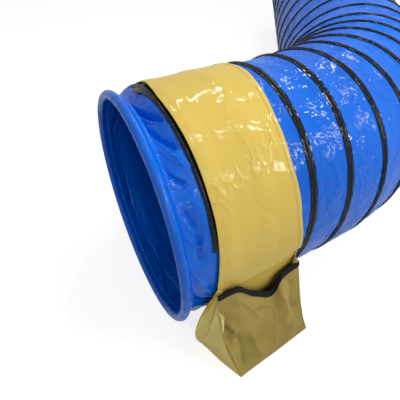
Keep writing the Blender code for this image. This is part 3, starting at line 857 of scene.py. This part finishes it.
# Folds of the saddle in millimetres: height, width, and a path of (distance up from the near edge,
# distance from the front edge)
STRAP_FOLDS = milli((
    (-1.4, 12, ((430, 80), (430, 110), (425, 176))),
    (1, 6, ((410, 126), (380, 118), (330, 124), (300, 132))),
    (-1.6, 14, ((465, 20), (475, 70), (470, 150))),
    (-3, 22, ((545, 0), (560, 90), (550, 230))),
    (-2, 16, ((160, 120), (110, 190), (90, 235))),
))
# The crinkled band's middle, between two points of (distance from the front edge, distance up)
GLOSS_BAND = ((0.035, 0.224), (0.233, 0.299))
GLOSS_BAND_HALF = 0.03


def strap_fall(u, v):
    """Creases of the saddle at u up from its near edge and v from its front one: slow folds, and a
    crinkled band low on the near side."""
    bends = noise(u * 7, v * 7, 0, 131)
    wide, ridge = dents(u / 0.11 + 0.5 * bends, v / 0.095 + 0.3 * bends, NEVER_CLOSES, 17)
    fine, crush = dents(u / 0.03 + 0.5 * bends, v / 0.022 + 0.5 * bends, NEVER_CLOSES, 19)
    (v_low, u_low), (v_high, u_high) = GLOSS_BAND
    middle = u_low + (u_high - u_low) * (v - v_low) / (v_high - v_low)
    band = np.exp(-(((u - middle) / GLOSS_BAND_HALF) ** 2))
    slow = 0.0016 * wide + 0.0003 * ridge + 0.0006 * noise(u * 16, v * 16, 0, 133)
    return slow + folds(u, v, STRAP_FOLDS) + band * (0.0024 * fine + 0.0018 * crush)


def edge_stray(edge, angle):
    """How far an edge of the strap strays along the tunnel at an angle up from the near side."""
    degrees, stray = np.array(edge).T
    return np.interp(np.degrees(angle), degrees, stray / 1000)


def make_strap():
    """The sheet, thicker along its two turned hems, which are stitched down."""
    length = pi * STRAP_INNER + 2 * STRAP_DROP
    run = np.linspace(0, length, STRAP_ROWS)[:, None]
    hem = STRAP_HEM
    edge = (0.0, 0.0008, hem / 2, hem)
    flat_part = np.linspace(hem + 0.001, STRAP_WIDTH - hem - 0.001, STRAP_COLUMNS)
    across = np.array([*edge, *flat_part, *(STRAP_WIDTH - e for e in edge[::-1])])[None, :]
    from_edge = np.minimum(across, STRAP_WIDTH - across)
    thick = np.where(from_edge <= hem + 1e-9, STRAP_HEM_FOLD, STRAP_SHEET)
    thick = np.where(from_edge < 0.0004, STRAP_EDGE, thick)
    angle = np.clip((run - STRAP_DROP) / STRAP_INNER, 0, pi)
    hang = np.minimum(run - STRAP_DROP, 0) + np.minimum(length - STRAP_DROP - run, 0)
    front = STRAP_FRONT + edge_stray(STRAP_FRONT_EDGE, angle) + 0.0012 * noise(run * 9, 0, 0, 137)
    rear = STRAP_REAR + edge_stray(STRAP_REAR_EDGE, angle) + 0.0018 * noise(run * 8, 5, 0, 139)
    x = front + (rear - front) * across / STRAP_WIDTH
    before, after = between_turns(x, np.broadcast_to(angle, x.shape))
    turn_gap = np.minimum(before, after)
    drape = STRAP_SLACK * smooth(0, 0.02, from_edge) - 0.0026 * smooth(0.0, 0.05, turn_gap)
    calm = smooth(0.0, 0.05, run) * smooth(0.0, 0.05, length - run)
    lift = (strap_fall(run, across) + drape) * calm
    # The sheet never sinks below the strip's crest, so that it clears the turns as it slides
    lift = np.maximum(lift, 0.0)

    centre = (ORIGIN[0] + x, ORIGIN[1], AXIS_HEIGHT + hang)
    inner = STRAP_INNER + 0.0003 + lift
    top, bottom = (ring_points(centre, 0.0, angle, 0.0, inner + extra) for extra in (thick, 0.0))
    rings = np.concatenate((top, bottom[:, ::-1]), 1)
    piece = swept("saddle_sheet", rings, MATERIALS["yellow"])
    sharpen(piece, 50)
    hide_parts("saddle_strap")
    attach(piece, "saddle")
    seams = (hem - 0.0025, STRAP_WIDTH - hem + 0.0025)
    seams = [top[:, np.argmin(np.abs(across[0] - from_front))] for from_front in seams]
    stitches = make_line_stitches("saddle_stitches", seams)
    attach(stitches, "saddle")


def make_line_stitches(name, lines):
    """Stitches along lines of points on the saddle."""
    starts, ends, outward = [], [], []
    for line in lines:
        reach = reached(line)
        stops = np.arange(STITCH_LENGTH, reach[-1] - STITCH_LENGTH, STITCH_LENGTH)
        both = (stops, stops + STITCH_LENGTH * 0.62)
        a, b = (np.stack([np.interp(s, reach, line[:, k]) for k in range(3)], -1) for s in both)
        out = (a + b) / 2 - STRAP_AXIS
        out[:, 0] = 0
        starts += list(a)
        ends += list(b)
        outward += list(unit(out))
    return stitch_mesh(name, starts, ends, outward, 0.0009, MATERIALS["yellow_thread"])


# Pouches: each outline point at the mouth, half way up and at the floor, in thousandths: share of the
# saddle's width, distance out from the back, and at the mouth its drop below the seam
POUCH_OUTLINE = milli((
    ((-51, 0, 0), (-253, -13.4), (-139, -34.4)),
    ((456, 0, 0), (456, -11.4), (456, -30.4)),
    ((920, 0, 0), (949, -11.4), (1004, -30.4)),
    ((880, 6.5, 16), (878, 19.6), (1030, 30.6)),
    ((928, 13, 38), (924, 57.6), (1046, 82.6)),
    ((690, 14.5, 56), (720, 67.6), (802, 86.6)),
    ((585, 17.5, 101), (545, 69.6), (540, 90.6)),
    ((310, 15, 54), (287, 61.6), (287, 93.6)),
    ((130, 14, 9), (95, 54), (118, 95.6)),
    ((-84, 14, 8), (-72, 47.6), (34, 97.6)),
    ((-8, 4.5, 7), (-135, 7), (-63, 34.6)),
))
POUCH_CORNERS = (0, 2, 3, 4, 9, 10)
POUCH_STEPS = 14
BACK_POINTS = 3
STRAIGHT_BACK_LEVEL = 0.9
POUCH_WALL = 0.0012

# The outline points where the mouth's binding starts and ends
BINDING_FIRST = 4
BINDING_LAST = 9

# Folds of the pouch's front in millimetres: height, width, and a path of (distance along the tunnel,
# height above the floor)
POUCH_FRONT_FOLDS = milli((
    (6, 4, ((41, 224), (44, 181), (57, 132), (80, 10))),
    (-13, 11, ((52, 205), (60, 172), (72, 150), (64, 136))),
    (9, 8, ((74, 176), (84, 150), (70, 128))),
    (-11, 10, ((88, 128), (94, 100), (92, 30))),
    (9, 15, ((128, 120), (134, 80), (150, 40))),
    (-9, 17, ((110, 215), (150, 170), (205, 140))),
    (-12, 12, ((232, 230), (262, 195), (256, 150), (262, 120))),
    (9, 10, ((222, 190), (238, 165), (240, 130))),
    (5.5, 6, ((120, 215), (145, 175), (160, 150))),
))

# Folds of the left gusset: a path's first number is the distance from the gusset's front seam
GUSSET_WIDTH = 0.09
GUSSET_FIRST = 9
GUSSET_FOLDS = milli((
    (11, 9, ((18, 262), (26, 210), (40, 160), (60, 110))),
    (-12, 7, ((8, 215), (10, 160), (14, 90), (12, 30))),
    (-6, 9, ((55, 240), (66, 180))),
))


def pouch_path(values):
    """Points round the pouch through the outline's, smooth except at its creased corners."""
    values = np.asarray(values, float)
    count = len(values)
    t = (np.arange(POUCH_STEPS) / POUCH_STEPS)[:, None]
    made = []
    for k in range(count):
        nxt = (k + 1) % count
        p1, p2 = values[k], values[nxt]
        before = (p2 - p1) if k in POUCH_CORNERS else (p2 - values[k - 1]) / 2
        after = (p2 - p1) if nxt in POUCH_CORNERS else (values[(k + 2) % count] - p1) / 2
        made.append(
            (2 * t**3 - 3 * t**2 + 1) * p1 + (t**3 - 2 * t**2 + t) * before
            + (3 * t**2 - 2 * t**3) * p2 + (t**3 - t**2) * after
        )
    return np.concatenate(made)


def pouch_level(share):
    """(x, out, height) of each outline point at a share of the pouch's height."""
    w = (share * (2 * share - 1), 4 * share * (1 - share), (1 - share) * (1 - 2 * share))
    rows = []
    for index, places in enumerate(POUCH_OUTLINE):
        across, out = (sum(part * place[k] for part, place in zip(w, places)) for k in (0, 1))
        if index < BACK_POINTS and share >= STRAIGHT_BACK_LEVEL:
            out = 0.0
        height = (POUCH_SEAM_HEIGHT - places[0][2]) * share
        rows.append((STRAP_FRONT + across * STRAP_WIDTH, POUCH_BACK + out, height))
    return rows


POUCH_LEVELS = np.concatenate((np.linspace(0, 0.03, 4), np.linspace(0.05, 1.0, 44)))


def pouch_surface(seed):
    """The pouch's outer surface, creased and slack, and its normals."""
    surface = np.array([pouch_path(pouch_level(share)) for share in POUCH_LEVELS])
    count = surface.shape[1]
    place = np.arange(count) / POUCH_STEPS
    share = POUCH_LEVELS[:, None]
    around = np.roll(surface, -1, 1) - np.roll(surface, 1, 1)
    normal = unit(np.stack((around[..., 1], -around[..., 0], 0 * around[..., 0]), -1))
    outline = surface[..., 0]
    height = surface[..., 2]
    is_back = (place < BACK_POINTS - 1)[None, :]
    is_front = ((place > BINDING_FIRST) & (place < BINDING_LAST + 0.5))[None, :]
    warp = noise(outline * 9, height * 9, seed, 151)
    up = height / 0.095 + 0.6 * warp + seed
    wide, ridge = dents(outline / 0.085 + 0.5 * warp, up, NEVER_CLOSES, 29)
    up = height / 0.045 + 0.5 * warp + seed
    fine, _ = dents(outline / 0.034 + 0.6 * warp, up, NEVER_CLOSES, 37)
    # The creases fade out at the mouth's edge, so that the tape and the walls there stay in line
    envelope = np.sin(pi * np.clip(share, 0.0, 1.0)) ** 0.6 * smooth(1.0, 0.93, share)
    around = len(POUCH_OUTLINE)
    corner = [np.abs((place - c + around / 2) % around - around / 2) for c in POUCH_CORNERS]
    corner = np.min(corner, 0)[None, :]
    calm = 0.35 + 0.65 * smooth(0.0, 0.5, corner)
    lift = envelope * calm * (0.008 * wide + 0.0014 * ridge + 0.0016 * fine + 0.0025 * warp)
    placed = folds(outline, height, POUCH_FRONT_FOLDS) * is_front * envelope
    gusset = (place - GUSSET_FIRST)[None, :] / 2 * GUSSET_WIDTH
    placed = placed + folds(gusset, height, GUSSET_FOLDS) * (gusset > 0) * envelope
    lift = np.where(is_back, 0.2 * lift, lift) + placed
    return surface + normal * lift[..., None], normal


def place_pouch(points, side, shift):
    """The points on the pouch's side of the tunnel, none of them under the floor."""
    x, y, z = np.moveaxis(points, -1, 0)
    return np.stack((ORIGIN[0] + x + shift, ORIGIN[1] + side * y, np.maximum(z, 0.0)), -1)


def make_pouch(name, side, shift, seed):
    """A bag with walls and a floor, open at the mouth."""
    outer, normal = pouch_surface(seed)
    inner = outer - normal * POUCH_WALL
    inner[..., 2] = np.maximum(inner[..., 2], POUCH_WALL)
    levels, count = outer.shape[:2]
    points = np.concatenate((place_pouch(outer, side, shift), place_pouch(inner, side, shift)))
    flip = side > 0
    faces = grid_faces(levels, count, closed_columns=True, flip=flip)
    faces += grid_faces(levels, count, closed_columns=True, start=levels * count, flip=not flip)
    last, inner_last = (levels - 1) * count, (2 * levels - 1) * count
    for j in range(count):
        k = (j + 1) % count
        face = (last + j, last + k, inner_last + k, inner_last + j)
        faces.append(face[::-1] if flip else face)
    base = tuple(range(count))
    faces.append(base if flip else base[::-1])
    inner_base = tuple(range(levels * count, levels * count + count))
    faces.append(inner_base[::-1] if flip else inner_base)
    piece = add_mesh(f"{name}_bag", points, faces, MATERIALS["cloth"])
    for key in ("gusset", "yellow"):
        piece.data.materials.append(MATERIALS[key])
    # Material 1 is the gusset's outside, the paler cloth with painted light, 2 is the inside of the back,
    # and 0 is the rest, the cloth darkened with painted shade
    wall = levels - 1
    place = np.arange(count) / POUCH_STEPS
    outer_kind = np.where(place >= GUSSET_FIRST, 1, 0)
    inner_kind = np.where(place < BACK_POINTS - 1, 2, 0)
    kinds = np.zeros(len(faces), np.int32)
    kinds[: wall * count] = np.tile(outer_kind, wall)
    kinds[wall * count : 2 * wall * count] = np.tile(inner_kind, wall)
    piece.data.polygons.foreach_set("material_index", kinds)
    sharpen(piece, 45)
    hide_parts(name)
    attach(piece, name)
    make_binding(name, outer, normal, side, shift, seed)


# The tape's depth, and its section as (distance out of the wall, share of the depth)
BINDING_DEPTH = 0.011
BINDING_SECTION = (
    (0.0022, 1.0), (0.001, 1.0), (0.001, 0.0), (-0.001, -0.1), (-0.0022, 0.0), (-0.0022, 1.0),
    (-0.0034, 1.0), (-0.0034, 0.0), (-0.0024, -0.2), (0.0012, -0.2), (0.0022, 0.0),
)


def make_binding(name, outer, normal, side, shift, seed):
    """The tape folded over the mouth's front edge, from one gusset to the other."""
    order = list(range(BINDING_FIRST * POUCH_STEPS, BINDING_LAST * POUCH_STEPS + 1))
    edge, out = outer[-1][order], normal[-1][order]
    down = unit(outer[-4][order] - edge)
    run = reached(edge)
    depth = BINDING_DEPTH + 0.0012 * noise(run * 30, seed, 0, 163)
    wave = 0.0012 * noise(run * 24, seed, 0, 167)
    rings = [edge + out * (o + wave)[:, None] + down * (depth * d)[:, None] for o, d in BINDING_SECTION]
    rings = place_pouch(np.stack(rings, 1), side, shift)
    if side > 0:
        rings = rings[:, ::-1]
    piece = swept(f"{name}_binding_tape", rings, MATERIALS["tape"])
    sharpen(piece, 50)
    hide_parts(f"{name.split('_')[0]}_mouth_binding")
    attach(piece, name)


# Stage and lights
FLOOR_SIZE = 30.0
FLOOR_DROP = 0.0006
FLOOR_GLOW = 0.8
WORLD_LIGHT = 0.38

# Slim strip lights, as directions in degrees from their target: bearing from the front run, height
STRIPS = ((-35, 30), (-8, 46), (28, 42), (-62, 42), (-16, 70), (56, 50), (-110, 30), (-51, 29))
STRIP_TARGET = (0.25, -0.1, 0.45)
STRIP_DISTANCE = 2.3
STRIP_SIZE = (0.6, 0.08)
STRIP_POWER = 6.4


def seen_directly(n):
    """1 for what the camera, the gloss and any clear surface see, and 0 for what lights the object."""
    rays = n.add("LightPath").outputs
    found = n.math("MAXIMUM", rays["Is Camera Ray"], rays["Is Glossy Ray"])
    return n.math("MAXIMUM", found, rays["Is Transmission Ray"])


def make_floor():
    """A pale floor that the camera and the gloss see as white, with the object's shadow on it."""
    n = Nodes(bpy.data.materials.new("studio floor"))
    glow = n.remap(seen_directly(n), 0.0, 1.0, 0.0, FLOOR_GLOW)
    n.put(n.shader, "Emission Color", (1.0, 1.0, 1.0, 1.0))
    n.put(n.shader, "Emission Strength", glow)
    tone = n.noise(n.place(), 0.7, 2.0)
    n.finish(n.blend(tone, (0.41, 0.41, 0.41), (0.43, 0.43, 0.43)), 0.9, Specular_IOR_Level=0.0)
    corners = ((-1, -1), (1, -1), (1, 1), (-1, 1))
    corners = [(x * FLOOR_SIZE, y * FLOOR_SIZE, -FLOOR_DROP) for x, y in corners]
    floor = add_mesh("floor", corners, [(0, 1, 2, 3)], n.owner, smooth_shaded=False)


def area_light(name, place, target, size, power, along):
    """A softbox aimed at a target, both from the mouth's middle, its first side along a direction."""
    data = bpy.data.lights.new(name, "AREA")
    data.shape = "RECTANGLE"
    data.size, data.size_y = size
    data.energy = power
    light = bpy.data.objects.new(name, data)
    bpy.context.scene.collection.objects.link(light)
    back = (Vector(place) - Vector(target)).normalized()
    right = Vector(along)
    right = (right - back * right.dot(back)).normalized()
    turn = Matrix((right, back.cross(right), back)).transposed().to_4x4()
    light.matrix_world = Matrix.Translation(Vector((*ORIGIN, 0.0)) + Vector(place)) @ turn


def make_lights():
    world = bpy.data.worlds.new("world")
    bpy.context.scene.world = world
    n = Nodes(world)
    background = n.tree.nodes["Background"]
    n.put(background, "Color", (1.0, 1.0, 1.0, 1.0))
    n.put(background, "Strength", n.remap(seen_directly(n), 0.0, 1.0, WORLD_LIGHT, 1.0))
    along = (1.0, 0.0, 0.0)
    area_light("top", (-0.4, 0.3, 3.4), (0.3, 0.1, 0.3), size=(2.4, 2.4), power=4.0, along=along)
    target = Vector(STRIP_TARGET)
    for number, (bearing, height) in enumerate(STRIPS):
        bearing, height = radians(bearing), radians(height)
        away = Vector((cos(height) * cos(bearing), cos(height) * sin(bearing), sin(height)))
        place = target + away * STRIP_DISTANCE
        area_light(f"strip_{number}", place, target, STRIP_SIZE, STRIP_POWER, (0.0, 0.0, 1.0))


make_camera()
make_skin()
make_wear_strip()
make_wire()
make_ends()
make_strap()
make_pouch("near_pouch", -1, 0.0, 0.0)
make_pouch("far_pouch", 1, FAR_POUCH_SHIFT, 6.0)
make_floor()
make_lights()
bpy.context.scene.view_settings.view_transform = "Standard"
